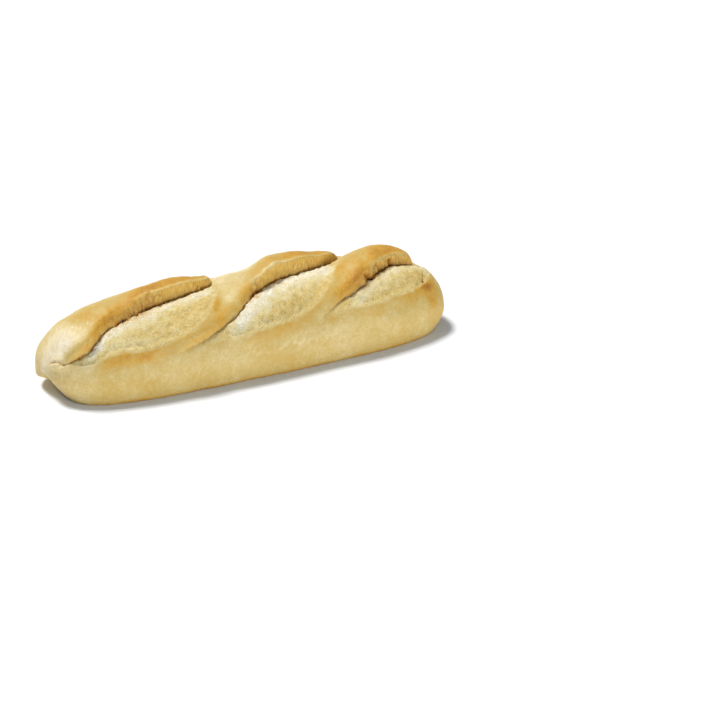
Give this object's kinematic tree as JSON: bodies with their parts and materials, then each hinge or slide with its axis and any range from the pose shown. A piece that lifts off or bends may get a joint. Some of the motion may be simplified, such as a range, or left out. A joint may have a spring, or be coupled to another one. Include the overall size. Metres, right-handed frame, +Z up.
{
  "type": "scored sandwich loaf top half",
  "caption": "Top half of a small scored sandwich loaf, split lengthwise, lying on its flat cut face, with raised crust ears along slanting cuts.",
  "frame": {"origin": "on the cut face, under the middle of the loaf's box", "axes": "+X along the loaf, +Y to its back, +Z up from the cut face"},
  "size_m": [0.25, 0.077, 0.0562],
  "materials": {
    "crust": "dry baked golden crust, paler and rougher on the torn cuts, open crumb on the cut face"
  },
  "bodies": {
    "root": {"loaf_top_half": "crust"}
  },
  "joints": []
}
